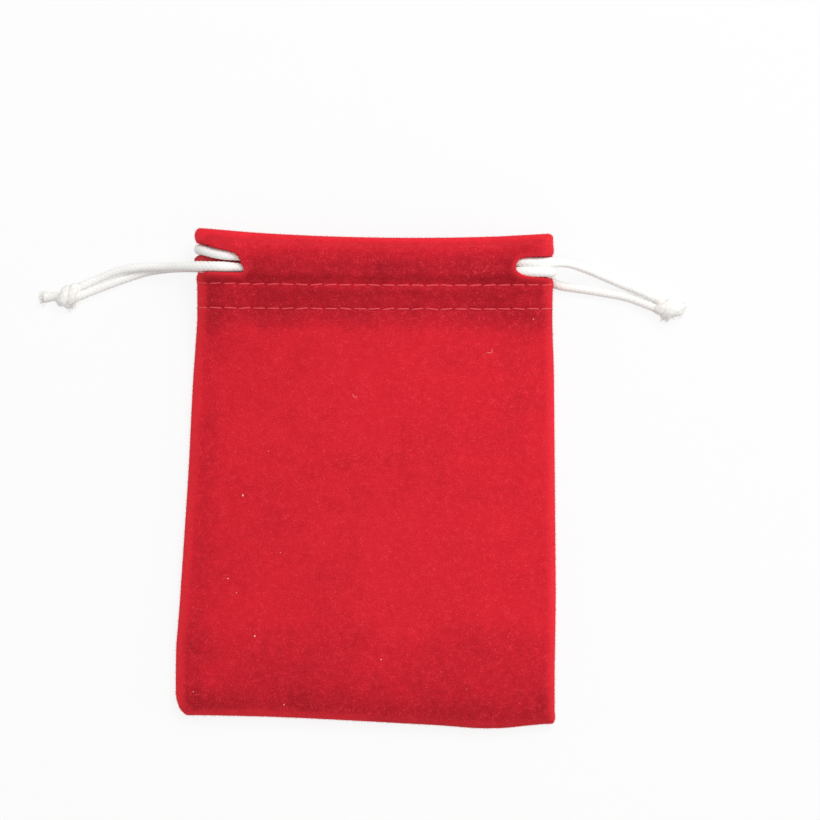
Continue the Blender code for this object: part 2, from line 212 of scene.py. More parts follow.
def cloth_place(drop, girth, depth, half=None):
    """Girth runs -1 to 1 over the front, to 2 round the right side, to 4 over the back, to 5."""
    left, right = sides(drop)
    width = (right - left) / 2
    outer = edge_half(drop) if half is None else half
    height = outer - depth
    turn, flat = turn_of(girth), flat_of(girth)
    x = (width - outer) * flat + height * cos(turn) * (1 if flat > 0 else -1)
    across = x / width
    z = middle_height(drop) + height * sin(turn) + rise(drop) * (1 - across ** 2) * max(0.0, sin(turn))
    z += side_lift(drop, across)
    if depth == 0 and half is None:
        z -= groove(drop) * sin(turn)
    return Vector(((left + right) / 2 + x, place_y(drop, across), z))


print("front at its middle:", round(cloth_place(6 * MM, 0, 0).z / MM, 1), "mm high at the mouth,",
      round(cloth_place(70 * MM, 0, 0).z / MM, 1), "mm on the body")

# %% [markdown]
# A drawstring is one length of cord that runs right round the pouch inside the tunnel and
# comes out where it went in, so pulling both ends closes the mouth. Its line goes through
# a few places: in the tunnel they are named by girth and drop, outside it by their place
# in space. A centripetal spline joins them, because it never loops or overshoots between
# close points.

# %% Lines of the two cords
def through(points, count):
    """Points on a smooth line through the given ones, count to each span."""
    ends = [2 * points[0] - points[1]] + points + [2 * points[-1] - points[-2]]
    made = []
    for p0, p1, p2, p3 in zip(ends, ends[1:], ends[2:], ends[3:]):
        k1 = sqrt((p1 - p0).length)
        k2 = k1 + sqrt((p2 - p1).length)
        k3 = k2 + sqrt((p3 - p2).length)
        for i in range(count):
            t = mix(k1, k2, i / count)
            a1 = p0 * ((k1 - t) / k1) + p1 * (t / k1)
            a2 = p1 * ((k2 - t) / (k2 - k1)) + p2 * ((t - k1) / (k2 - k1))
            a3 = p2 * ((k3 - t) / (k3 - k2)) + p3 * ((t - k2) / (k3 - k2))
            b1 = a1 * ((k2 - t) / k2) + a2 * (t / k2)
            b2 = a2 * ((k3 - t) / (k3 - k1)) + a3 * ((t - k1) / (k3 - k1))
            made.append(b1 * ((k2 - t) / (k2 - k1)) + b2 * ((t - k1) / (k2 - k1)))
    return made + [points[-1]]


def evenly(points, step):
    """The same line, read at equal steps along it."""
    total = sum((b - a).length for a, b in zip(points, points[1:]))
    count = round(total / step)
    gap = total / count
    made = [points[0]]
    walked = 0.0
    for a, b in zip(points, points[1:]):
        span = (b - a).length
        while walked + span >= gap * len(made) and len(made) < count:
            made.append(a.lerp(b, (gap * len(made) - walked) / span))
        walked += span
    return made + [points[-1]]


LEFT_ROUTE = (
    (-70.1, 47.4, 1.7), (-66.0, 49.25, 1.25), (-61.4, 51.0, 1.85), (-57.6, 51.8, 2.7), (-53.6, 52.15, 3.15),
    (-49.4, 52.1, 4.2), (-44.6, 52.1, 6.8), (-0.985, 8.0), (-0.85, 8.0), (-0.7, 8.0), (-0.5, 7.8),
    (-0.25, 7.4), (0, 7.2), (0.25, 7.4), (0.5, 7.7), (0.7, 8.1), (0.85, 8.4), (41.0, 50.6, 10.1),
    (44.3, 50.6, 9.3), (45.6, 50.6, 7.0), (44.4, 50.7, 4.8), (41.2, 50.8, 4.1), (2.15, 8.2), (2.35, 7.9),
    (2.6, 7.6), (3.0, 7.3), (3.4, 7.4), (3.65, 7.8), (3.84, 7.9), (-38.6, 52.0, 4.2), (-43.6, 51.9, 2.5),
    (-49.0, 51.7, 1.1), (-54.2, 50.9, 1.05), (-59.6, 49.2, 1.05), (-65.2, 47.15, 1.1), (-70.0, 45.25, 1.45),
)
RIGHT_ROUTE = (
    (71.5, 44.3, 1.9), (67.4, 46.1, 1.8), (63.2, 47.8, 1.2), (58.4, 49.9, 1.75), (54.0, 51.6, 3.6),
    (49.4, 52.8, 6.4), (0.985, 6.4), (0.85, 6.0), (0.7, 5.7), (0.5, 5.3), (0.25, 4.9), (0, 4.6),
    (-0.25, 4.8), (-0.5, 5.2), (-0.7, 5.5), (-0.85, 5.5), (-36.4, 55.1, 10.0), (-39.4, 55.9, 9.1),
    (-40.8, 56.2, 6.6), (-39.6, 56.0, 3.8), (-36.6, 55.5, 2.75), (-33.6, 55.0, 2.8), (3.82, 5.6), (3.6, 5.4),
    (3.3, 4.8), (3.0, 4.6), (2.7, 4.8), (2.45, 5.2), (2.28, 5.5), (36.4, 53.4, 3.25), (39.0, 53.1, 2.7),
    (41.4, 51.8, 1.45), (43.8, 49.6, 1.08), (47.8, 47.6, 1.05), (53.0, 46.7, 1.05), (58.6, 45.8, 1.05),
    (64.6, 44.6, 1.1), (71.1, 42.15, 1.5),
)
PATH_STEP = 1.0 * MM


def cord_line(route, step):
    made = []
    for place in route:
        if len(place) == 2:
            made.append(cloth_place(place[1] * MM, place[0], CORD_DEPTH))
        else:
            made.append(Vector(place) * MM)
    return evenly(through(made, 8), step)


def line_length(points):
    return sum((b - a).length for a, b in zip(points, points[1:]))


cord_lines = {"left": cord_line(LEFT_ROUTE, PATH_STEP), "right": cord_line(RIGHT_ROUTE, PATH_STEP)}
for side, line in cord_lines.items():
    print(side, "cord", round(line_length(line) / MM, 1), "mm long")

# %% [markdown]
# The cord is a round braid: eight fine strands, half of them winding to the left and half
# to the right, each going over and under the others. A plain tube with a picture of a
# braid would look painted, so the tube's skin itself swells where a strand lies on top.
# The swelling is kept as a number on each point too, so that the material can darken the
# furrows.

# %% Braided tube
BRAID_STRANDS = 4
BRAID_PITCH = 1.15 * MM
BRAID_RELIEF = 0.13 * MM
SLOT_SWELL = 0.2
SLOT_PLACE = 40 * MM
TUBE_SIDES = 28
TUBE_STEP = 0.23 * MM
LOWEST = 0.02 * MM


def braid(around, along):
    """How high the braid stands at a place on the cord, 0 to 1."""
    a = around * BRAID_STRANDS - along / BRAID_PITCH
    b = around * BRAID_STRANDS + along / BRAID_PITCH
    over = (int(a // 1) + int(b // 1)) % 2 == 0
    across, floated = (a % 1, b % 1) if over else (b % 1, a % 1)
    return (1 - (2 * across - 1) ** 2) ** 0.5 * (0.55 + 0.45 * sin(pi * floated))


def carried_frames(line):
    """A sideways direction at each point that turns as little as it can along the line."""
    ways = [(b - a).normalized() for a, b in zip(line, line[1:])]
    ways.append(ways[-1])
    side = ways[0].orthogonal().normalized()
    frames = []
    for way in ways:
        side = (side - way * side.dot(way)).normalized()
        frames.append((side, way.cross(side)))
    return frames


def loft(mesh, rings):
    """Faces between each ring of corners and the next."""
    for low, high in zip(rings, rings[1:]):
        for j in range(len(low)):
            k = (j + 1) % len(low)
            mesh.faces.new((low[j], low[k], high[k], high[j]))


def tube(mesh, relief, line, radii, dome=0.25):
    """Adds a braided tube to a mesh, pressed flat where it meets the table, with domed ends."""
    frames = carried_frames(line)
    rings = []
    walked = 0.0
    for i, (place, (u, v)) in enumerate(zip(line, frames)):
        if i:
            walked += (place - line[i - 1]).length
        loop = []
        for j in range(TUBE_SIDES):
            turn = 2 * pi * j / TUBE_SIDES
            height = braid(j / TUBE_SIDES, walked)
            out = radii[i] + BRAID_RELIEF * (height - 0.6)
            vert = mesh.verts.new(place + (u * cos(turn) + v * sin(turn)) * out)
            vert.co.z = max(vert.co.z, LOWEST)
            vert[relief] = height
            loop.append(vert)
        rings.append(loop)
    loft(mesh, rings)
    for loop, way, flip in ((rings[0], line[0] - line[1], True), (rings[-1], line[-1] - line[-2], False)):
        tip = sum((v.co for v in loop), Vector()) / TUBE_SIDES + way.normalized() * radii[0] * dome
        cap = mesh.verts.new(tip)
        cap[relief] = 0.3
        for j in range(TUBE_SIDES):
            k = (j + 1) % TUBE_SIDES
            mesh.faces.new((loop[k], loop[j], cap) if flip else (loop[j], loop[k], cap))


def finish_mesh(name, mesh, smooth=True):
    """Turns a built mesh into an object at the origin."""
    data = bpy.data.meshes.new(name)
    mesh.to_mesh(data)
    mesh.free()
    if smooth:
        data.shade_smooth()
    made = bpy.data.objects.new(name, data)
    bpy.context.scene.collection.objects.link(made)
    return made


def cord_radius(place):
    """The cord opens up a little where it lies slack in a slot."""
    near = abs(abs(place.x - HEADER_SHIFT) - SLOT_PLACE)
    return CORD_DIAMETER / 2 * (1.04 + SLOT_SWELL * (1 - ease(near, 3 * MM, 7 * MM)))


cords = {}
for side, route in (("left", LEFT_ROUTE), ("right", RIGHT_ROUTE)):
    mesh = bmesh.new()
    relief = mesh.verts.layers.float.new("relief")
    line = cord_line(route, TUBE_STEP)
    radii = [cord_radius(place) for place in line]
    tube(mesh, relief, line, radii)
    cords[side] = finish_mesh("cord_" + side, mesh)
    print("cord", side, len(cords[side].data.polygons), "faces")

# %% [markdown]
# Both ends of a cord are tied together in one overhand knot: the two strands lie side by
# side, run through, wrap once back over themselves and tuck under their own wrap. The
# braid is soft and spreads where it is bent and where it is cut, so the strands are a
# little thicker in the wrap and at their ends. The knot is drawn as that real path and not
# as a ball, because the ridges of the wrap are what the eye reads as a knot.

# %% Knots
KNOT_SIZE = Vector((7.0, 5.0, 4.4)) * MM
KNOT_FLOOR = 0.1 * MM
KNOT_STRAND = 1.12 * MM
KNOT_WRAP = 1.38 * MM
KNOT_CROWN = 0.2
KNOT_PAINTED_SHADE = 0.6
CUT_END = 0.85
KNOT_BLEND = 14
END_FLARE = 0.26
END_RINGS = 9
TAIL_HEIGHT = 1.3 * MM
WRAP_TURN = 2 * pi * 1.15
WRAP_SLANT = 0.6
WRAP_PLACES = 11
KNOTS = {
    "left": ((-73.2, 45.2), 0.35 + pi, ((-76.4, 44.8), (-79.4, 44.7)), ((-73.7, 43.8), (-72.8, 43.1))),
    "right": ((74.5, 41.9), -0.35, ((76.7, 41.6), (77.4, 41.3)), ((74.2, 40.7), (74.4, 40.0))),
}


def knot_middle(side):
    return Vector((*KNOTS[side][0], 0)) * MM + Vector((0, 0, KNOT_SIZE.z / 2 + KNOT_FLOOR))


def knot_strand(side, number):
    """The line of one strand, from the end of the cord through the knot to its cut end."""
    _, lean, *tails = KNOTS[side]
    turn = Matrix.Rotation(lean, 3, "Z")
    middle = knot_middle(side)
    line = cord_lines[side]
    end, before = (line[0], line[2]) if number == 0 else (line[-1], line[-3])
    beside = 1 if (number == 0) == (side == "right") else -1
    shift = beside * KNOT_STRAND * 0.86
    wide = KNOT_SIZE.y / 2 - KNOT_WRAP
    high = KNOT_SIZE.z / 2 - KNOT_WRAP
    inside = [Vector((-1.3, beside * 0.6, -0.3)) * MM, Vector((0.4, beside * 0.6, -0.5)) * MM]
    for i in range(WRAP_PLACES + 1):
        angle = -0.5 * pi + WRAP_TURN * i / WRAP_PLACES
        along = mix(1.1 * MM, -1.1 * MM, i / WRAP_PLACES) + shift
        crown = 1 - KNOT_CROWN * (along / (2 * MM)) ** 2
        slant = WRAP_SLANT * wide * cos(angle)
        inside.append(Vector((along + slant, wide * cos(angle) * crown, high * sin(angle) * crown)))
    inside += [Vector((0.2, 0.1 * beside, 0.2)) * MM]
    if number == 0:
        inside.append(Vector((2.2, 0.2, -0.1)) * MM)
    ends = [Vector((*p, 0)) * MM + Vector((0, 0, TAIL_HEIGHT)) for p in tails[number]]
    ahead = (end - before).normalized()
    places = [before, end, end + ahead * 0.6 * MM] + [middle + turn @ p for p in inside] + ends
    return evenly(through(places, 10), TUBE_STEP)


knots = {}
tail_ends = {}
for side in KNOTS:
    mesh = bmesh.new()
    relief = mesh.verts.layers.float.new("relief")
    tail_ends[side] = []
    for number in (0, 1):
        line = knot_strand(side, number)
        radii = []
        for i, place in enumerate(line):
            strand = mix(CORD_DIAMETER / 2 * 0.95, KNOT_STRAND, ease(i, 0, KNOT_BLEND))
            off = (place - knot_middle(side)).length
            squeezed = mix(KNOT_WRAP, strand, ease(off, 1.9 * MM, 3 * MM))
            flare = END_FLARE * ease(i, len(line) - END_RINGS, len(line) - 1)
            radii.append(squeezed * (1 + flare))
        tube(mesh, relief, line, radii, CUT_END)
        tail_ends[side].append((line[-1], (line[-1] - line[-4]).normalized()))
    # Painted shade: the knot's braid relief is lowered, so more of the cotton's furrow shade covers the knot
    # and it looks greyer than the cord.
    for vert in mesh.verts:
        vert[relief] *= KNOT_PAINTED_SHADE
    knots[side] = finish_mesh("knot_piece_" + side, mesh)
    print("knot", side, len(knots[side].data.polygons), "faces")

# %% [markdown]
# The pouch is one skin of velvet. It starts at the closed bottom, goes up the outside to
# the mouth, turns over and comes back down the inside as the hem. The skin is lofted ring
# by ring along that path and gets its thickness at the end, so the rolled mouth edge and
# the tunnel are there because the cloth really folds, not because they were carved. Rings
# and columns lie closer together where small things happen: at the slots, the stitch rows
# and the side folds.

# %% Slots in the side folds
SLOT_LEFT = (
    (-0.5, 2.7), (4.4, 3.9), (9.4, 4.9), (10.5, 5.9), (11.2, 7.3), (11.8, 8.6), (11.1, 9.2),
    (8.8, 9.35), (-0.5, 9.5),
)
SLOT_RIGHT = (
    (-0.4, 5.1), (4.0, 5.2), (7.4, 5.4), (8.6, 5.9), (9.4, 7.3), (8.7, 8.9), (6.4, 9.7),
    (-0.4, 10.3),
)
BESIDE_POUCH = -9 * MM


def slot_edge(points):
    """The cut as a closed line of places: distance in from the side fold, and drop."""
    line = through([Vector((x * MM, y * MM)) for x, y in points], 6)
    return [Vector((BESIDE_POUCH, line[0].y))] + line + [Vector((BESIDE_POUCH, line[-1].y))]


def edge_distance(place, edge):
    """Signed distance to the cut, below 0 inside it, and the nearest place on it."""
    best, nearest, inside = 1e9, None, False
    for a, b in zip(edge, edge[1:] + edge[:1]):
        run = b - a
        t = clamp((place - a).dot(run) / run.length_squared)
        foot = a + run * t
        gap = (place - foot).length
        if gap < best:
            best, nearest = gap, foot
        if (a.y > place.y) != (b.y > place.y) and place.x < a.x + (place.y - a.y) * run.x / run.y:
            inside = not inside
    return (-best if inside else best), nearest


SLOTS = {-1: slot_edge(SLOT_LEFT), 1: slot_edge(SLOT_RIGHT)}
SLOT_REACH = 16 * MM


def inset_of(drop, girth, depth):
    """Which side fold a place is nearest to, and how far in from it, seen from above."""
    left, right = sides(drop)
    width = (right - left) / 2
    outer = edge_half(drop)
    flat = flat_of(girth)
    reach = (width - outer) * abs(flat) + (outer - depth) * cos(turn_of(girth))
    return (-1 if flat < 0 else 1), width - reach


def girth_at(drop, girth, depth, inset):
    """The girth with this inset, on the same face of the pouch as the given one."""
    left, right = sides(drop)
    width = (right - left) / 2
    outer = edge_half(drop)
    side, _ = inset_of(drop, girth, depth)
    front = girth <= 1.5 or girth > 4.5
    if inset >= outer:
        flat = (width - inset) / (width - outer)
        return side * flat if front else 3 - side * flat
    share = max(-1.0, min(1.0, (outer - inset) / (outer - depth)))
    turned = 0.5 - acos(share) / pi
    if side > 0:
        return 1 + turned if front else 2 - turned
    return 5 - turned if front else 4 + turned


print("slots:", len(SLOTS[-1]), "and", len(SLOTS[1]), "edge places")

# %% The skin of the pouch
SKIN = 0.76 * MM
SNAP = 0.22 * MM
FRONT_COLUMNS = 112
MIDDLE_COLUMNS = 52
FOLD_COLUMNS = 12
SLOT_ROWS = 12.5 * MM
RIM_WIDTH = (0.2 * MM, 2.6 * MM)
SLOT_RIM = 1.5 * MM
EDGE_CURL = 0.24 * MM
EDGE_SWELL = 0.16 * MM
SEAM_SINK = 0.32 * MM
PITCH = 3.5 * MM
EDGES_PER_STITCH = 12
GAP_EDGES = 2
FIRST_STITCH = 0.36
HOLE_PHASE = FIRST_STITCH - GAP_EDGES / 2 / EDGES_PER_STITCH
FLAP_FLARE = 0.4 * MM
SIDE_BULGE = 0.42 * MM
SEAM_PUCKER = 0.4 * MM
SEAM_LIFT = 1.0 * MM
BAND_SWELL = 1.5 * MM
BAND_MIDDLE = 12.8 * MM
BAND_REACH = 3.4 * MM
ROW_LIFT = 0.95 * MM
ROW_REACH = 1.7 * MM
CURL_REACH = 0.9 * MM
SWELL_PLACE = (1.3 * MM, 0.8 * MM)
FLAP_END = (2.5 * MM, 5 * MM)
FOOT_FLARE = (90 * MM, 110 * MM)
LEFT_BULGE = (34 * MM, 16 * MM)
RIGHT_BULGE = (18 * MM, 34 * MM, 84 * MM, 108 * MM)
PUCKER_PLACE = (28 * MM, 7 * MM)
LIFTED_FOOT = (33 * MM, 46 * MM)


def steps(start, end, count):
    return [start + (end - start) * i / count for i in range(count + 1)]


def skin_columns():
    near, middle = (FRONT_COLUMNS - MIDDLE_COLUMNS) // 2, MIDDLE_COLUMNS
    front = steps(-1, -0.69, near) + steps(-0.69, 0.69, middle)[1:] + steps(0.69, 1, near)[1:]
    back = [3 - g for g in reversed(front)]
    return front + steps(1, 2, FOLD_COLUMNS)[1:-1] + back + steps(4, 5, FOLD_COLUMNS)[1:-1]


def skin_rows():
    """Each ring of the skin's middle as drop, depth, half height, and outside or hem."""
    deep = CLOTH / 2
    round_foot = FOOT_ROUND - deep
    rows = []
    for turn in (0.05, 0.2, 0.45, 0.75, 1.05, 1.3, pi / 2):
        drop = LENGTH - FOOT_ROUND + round_foot * cos(turn)
        rows.append((drop, deep, round_foot * sin(turn) + deep, True))
    body = steps(LENGTH - FOOT_ROUND - 1.1 * MM, 19.8 * MM, 84)
    stitched = steps(19.4 * MM, 10.5 * MM, 20)
    slotted = steps(10.15 * MM, CLOTH + 0.1 * MM, 26)
    rows += [(drop, deep, None, True) for drop in body + stitched + slotted]
    for turn in steps(0, pi, 6):
        rows.append((CLOTH - deep * sin(turn), CLOTH - deep * cos(turn), edge_half(0), True))
    for drop in steps(CLOTH + 0.5 * MM, HEM_DEPTH, 44):
        rows.append((drop, 1.5 * CLOTH + 0.02 * MM + TUNNEL_DEPTH * bulge(drop), None, False))
    return rows


def slackness(x, y, drop, across):
    """Soft rises and hollows of slack cloth, a little lower over the cords."""
    wide = noise.noise(Vector((x / (24 * MM), y / (30 * MM), 1.7)))
    small = noise.noise(Vector((x / (9 * MM), y / (11 * MM), 4.1)))
    share = mix(0.35, 1.0, ease(drop, HEM_DEPTH, HEM_DEPTH + 8 * MM)) * ease(LENGTH - drop, 3 * MM, 14 * MM)
    return (0.42 * wide + 0.16 * small) * MM * share * (1 - across ** 6)


ROUND = (-1, 1, 2, 4, 5)


def walks(drop):
    """How far round the pouch the cloth reaches at each girth in ROUND."""
    left, right = sides(drop)
    outer = edge_half(drop)
    flat = right - left - 2 * outer
    fold = pi * (outer - CLOTH / 2)
    return 0, flat, flat + fold, 2 * flat + fold, 2 * (flat + fold)


def read_off(x, known, wanted):
    """The wanted number beside x, read between two rows of matching numbers."""
    i = sum(x > mark for mark in known[1:-1])
    return mix(wanted[i], wanted[i + 1], (x - known[i]) / (known[i + 1] - known[i]))


STITCHES = round(walks(UPPER_ROW)[-1] / PITCH)


def stitch_phase(drop, girth):
    """Counts the stitches up to a place, with a whole number of them round the pouch."""
    return STITCHES * read_off(girth, ROUND, walks(drop)) / walks(drop)[-1]


def hem_reach(drop, across):
    """How much further the hem comes out towards the side fold inside the tunnel."""
    room = ease(drop, TUNNEL_TOP, TUNNEL_TOP + TUNNEL_TOP_SLOPE) * (1 - ease(drop, 9.5 * MM, UPPER_ROW))
    below = ease(drop, 5.0 * MM, 6.2 * MM) if across < 0 else ease(drop, 5.6 * MM, 6.9 * MM)
    reach = mix(3.0, 1.0, below) if across > 0 else 1 + 3.1 * below * (1 - ease(drop, 7.6 * MM, 9.2 * MM))
    return reach * MM * room * ease(abs(across), 0.78, 0.92)


def skin_point(drop, girth, depth, half, gap):
    """One point of the skin, with the pull of the stitches, the seams and the slot edges."""
    if gap is not None and gap < 3 * MM:
        depth += EDGE_CURL * (1 - ease(gap, 0, CURL_REACH))
        depth -= EDGE_SWELL * bell(gap, *SWELL_PLACE)
    place = cloth_place(drop, girth, depth, half)
    left, right = sides(drop)
    across = (2 * place.x - left - right) / (right - left)
    facing = sin(turn_of(girth))
    pinch = 0.8 + 0.45 * cos(2 * pi * (stitch_phase(drop, girth) - HOLE_PHASE))
    place.z -= groove(drop) * facing * pinch
    if facing > 0:
        place.z += slackness(place.x, place.y, drop, across) * facing
        lift = BAND_SWELL * bell(drop, BAND_MIDDLE, BAND_REACH)
        lift += ROW_LIFT * bell(drop, UPPER_ROW, ROW_REACH)
        place.z += lift * facing * (1 - across ** 4)
    if depth > 1.4 * CLOTH:
        place.x += hem_reach(drop, across) * (1 if across > 0 else -1)
    near_side = ease(abs(across), 0.8, 1)
    if across < 0:
        flare = 1 - ease(drop, *FLAP_END) + 0.7 * ease(drop, *FOOT_FLARE)
        place.x -= (FLAP_FLARE * flare + SIDE_BULGE * bell(drop, *LEFT_BULGE)) * near_side
    else:
        swell = ease(drop, *RIGHT_BULGE[:2]) * (1 - ease(drop, *RIGHT_BULGE[2:]))
        place.x += SIDE_BULGE * swell * near_side
    low = ease(drop, 88 * MM, LENGTH)
    place.y -= SEAM_PUCKER * low * bell(place.x, *PUCKER_PLACE)
    place.y += SEAM_LIFT * low * ease(place.x, *LIFTED_FOOT)
    if half is None and drop > UPPER_ROW:
        sink = SEAM_SINK * bell(facing, 0, 0.22) * ease(drop, UPPER_ROW, LOWER_ROW)
        place.x -= sink * (1 if across > 0 else -1)
    return place, across, facing


columns = skin_columns()
mesh = bmesh.new()
on_drop = mesh.verts.layers.float.new("drop")
on_rim = mesh.verts.layers.float.new("rim")
on_facing = mesh.verts.layers.float.new("facing")
on_painted_left_shade = mesh.verts.layers.float.new("left")
grid, gone, edge_verts = [], set(), set()
for drop, depth, half, outside in skin_rows():
    row = []
    for girth in columns:
        d, g, gap = drop, girth, None
        side, inset = inset_of(drop, girth, depth)
        if outside and half is None and drop < SLOT_ROWS and inset < SLOT_REACH:
            gap, nearest = edge_distance(Vector((inset, drop)), SLOTS[side])
            if abs(gap) <= SNAP:
                d = nearest.y
                g = girth_at(d, girth, depth, max(nearest.x, depth))
                gap = 0.0
        place, across, facing = skin_point(d, g, depth, half, gap)
        vert = mesh.verts.new(place)
        vert[on_drop] = d
        vert[on_facing] = facing
        # Painted shade: a darker strip a few millimetres inside the left fold, read by the velvet's colour.
        vert[on_painted_left_shade] = bell(inset, 4.5 * MM, 3 * MM) if side < 0 else 0.0
        # Painted highlight: the rim number lightens the velvet's colour along the folds, the mouth and the
        # foot, half again more on the left fold, and along the slot edges below; the pile fibres also grow
        # thickest where it is high.
        near = min(inset * 0.8, drop * 1.15 if outside else LENGTH, LENGTH - drop)
        rim = (1 - ease(near, *RIM_WIDTH)) * (1.6 if side < 0 and inset < drop else 1.0)
        if gap is not None:
            rim = max(rim, 0.9 * (1 - ease(gap, 0, SLOT_RIM)))
            if gap < -SNAP:
                gone.add(vert)
            elif gap == 0:
                edge_verts.add(vert)
        vert[on_rim] = rim
        row.append(vert)
    grid.append(row)
loft(mesh, grid)
seam, half_round = grid[0], FRONT_COLUMNS + FOLD_COLUMNS
for j in range(FRONT_COLUMNS):
    across = FRONT_COLUMNS + half_round - j
    mesh.faces.new((seam[j + 1], seam[j], seam[across], seam[across - 1]))
for start in (FRONT_COLUMNS, FRONT_COLUMNS + half_round):
    mesh.faces.new([seam[(start + j) % len(seam)] for j in reversed(range(FOLD_COLUMNS + 1))])
bmesh.ops.delete(mesh, geom=list(gone), context="VERTS")
slivers = [face for face in mesh.faces if edge_verts.issuperset(face.verts)]
bmesh.ops.delete(mesh, geom=slivers, context="FACES_ONLY")
loose = [v for v in mesh.verts if not v.link_faces]
bmesh.ops.delete(mesh, geom=loose, context="VERTS")
skin = finish_mesh("pouch_skin", mesh)
print("skin:", len(skin.data.polygons), "faces in one layer")

# %% [markdown]
# Materials and geometry trees are both graphs of nodes, and both are written as sums. A
# small class holds one socket and lets it be added and multiplied like a number; each sum
# becomes a Math node. Colours go through Mix nodes, because a Math node would turn them
# grey.

# %% Sockets as numbers
class Value:
    """One socket of a graph, used like a number."""

    def __init__(self, graph, socket):
        self.graph = graph
        self.socket = socket

    def beside(self, name):
        """Another socket of the same node."""
        return Value(self.graph, self.socket.node.outputs[name])

    def sum(self, operation, other=0.0, reflected=False):
        first, second = (other, self) if reflected else (self, other)
        return self.graph.node("ShaderNodeMath", {"operation": operation}, {0: first, 1: second})

    def __add__(self, other):
        return self.sum("ADD", other)

    def __sub__(self, other):
        return self.sum("SUBTRACT", other)

    def __rsub__(self, other):
        return self.sum("SUBTRACT", other, True)

    def __mul__(self, other):
        return self.sum("MULTIPLY", other)

    def __truediv__(self, other):
        return self.sum("DIVIDE", other)

    __radd__ = __add__

    def between(self, low, high):
        """0 at low, 1 at high, smooth between."""
        sockets = {"Value": self, "From Min": low, "From Max": high}
        return self.graph.node("ShaderNodeMapRange", {"interpolation_type": "SMOOTHSTEP"}, sockets)


print("a socket knows + - * / and", [name for name in vars(Value) if name[0] != "_"])


# %% Graphs of nodes
class Graph:
    """The nodes of a material, of the world or of a geometry tree."""

    def __init__(self, tree):
        self.tree = tree

    def node(self, kind, settings=None, sockets=None, out=0):
        made = self.tree.nodes.new(kind)
        for key, value in (settings or {}).items():
            setattr(made, key, value)
        for key, value in (sockets or {}).items():
            if isinstance(value, Value):
                self.tree.links.new(value.socket, made.inputs[key])
            else:
                made.inputs[key].default_value = value
        return Value(self, made.outputs[out])

    def end(self, kind, value):
        self.tree.links.new(value.socket, self.tree.nodes.new(kind).inputs[0])


class Finish(Graph):
    """One material with a Principled shader."""

    def __init__(self, name, roughness, **constants):
        self.material = bpy.data.materials.new(name)
        self.material.use_nodes = True
        super().__init__(self.material.node_tree)
        self.shader = self.tree.nodes["Principled BSDF"]
        self.shader.inputs["Roughness"].default_value = roughness
        for socket, value in constants.items():
            self.shader.inputs[socket.replace("_", " ")].default_value = value

    def colours(self, share, first, second):
        return self.node("ShaderNodeMix", {"data_type": "RGBA"}, {0: share, 6: first, 7: second}, 2)

    def attribute(self, name):
        return self.node("ShaderNodeAttribute", {"attribute_name": name}, out="Fac")

    def place(self, stretch=(1, 1, 1)):
        here = self.node("ShaderNodeTexCoord", out="Object")
        return self.node("ShaderNodeMapping", None, {"Vector": here, "Scale": stretch})

    def noise(self, size, detail=2.0, rough=0.5, stretch=(1, 1, 1)):
        """Cloudy variation, 0 to 1, with spots about this size in metres."""
        sockets = {"Vector": self.place(stretch), "Scale": 1 / size, "Detail": detail, "Roughness": rough}
        return self.node("ShaderNodeTexNoise", None, sockets)

    def wire(self, socket, value):
        self.tree.links.new(value.socket, self.shader.inputs[socket])

    def bump(self, height, depth):
        sockets = {"Height": height, "Distance": depth, "Strength": 1.0}
        self.wire("Normal", self.node("ShaderNodeBump", None, sockets))

    def mottle(self, first, second, depth, *grain):
        """Wanders between two colours, with a bump of the same grain."""
        spots = self.noise(*grain)
        self.wire("Base Color", self.colours(spots, first, second))
        if depth:
            self.bump(spots, depth)


class Recipe(Graph):
    """A geometry tree with named inputs."""

    def __init__(self, name, **inputs):
        super().__init__(bpy.data.node_groups.new(name, "GeometryNodeTree"))
        for socket, kind in {**inputs, "Shape": "Geometry"}.items():
            way = "OUTPUT" if socket == "Shape" else "INPUT"
            label = socket.replace("_", " ")
            self.tree.interface.new_socket(label, in_out=way, socket_type="NodeSocket" + kind)
        given = self.tree.nodes.new("NodeGroupInput").outputs
        self.given = {socket: Value(self, given[socket.replace("_", " ")]) for socket in inputs}

    def geo(self, kind, settings=None, **sockets):
        """A geometry node, with its inputs by name."""
        named = {socket.replace("_", " "): value for socket, value in sockets.items()}
        return self.node("GeometryNode" + kind, settings, named)

    def vector(self, **parts):
        return self.node("ShaderNodeCombineXYZ", None, parts)

    def read(self, name, kind="FLOAT"):
        return self.geo("InputNamedAttribute", {"data_type": kind}, Name=name)

    def draw(self, low, high, seed, **places):
        """A random number for each point."""
        return self.node("FunctionNodeRandomValue", None, {2: low, 3: high, "Seed": seed, **places}, 1)

    def pipe(self, line, sides, width, caps=False):
        """A round thread along a line, as wide at each point as the width says."""
        ring = self.geo("CurvePrimitiveCircle", {"mode": "RADIUS"}, Resolution=sides, Radius=1.0)
        return self.geo("CurveToMesh", Curve=line, Profile_Curve=ring, Fill_Caps=caps, Scale=width)

    def serve(self, shape, material):
        """Ends the tree with real, smooth geometry of one material."""
        smooth = self.geo("SetShadeSmooth", Geometry=shape)
        real = self.geo("RealizeInstances", Geometry=smooth)
        self.end("NodeGroupOutput", self.geo("SetMaterial", Geometry=real, Material=material))
        return self


print("kinds of graph:", [kind.__name__ for kind in Graph.__subclasses__()])

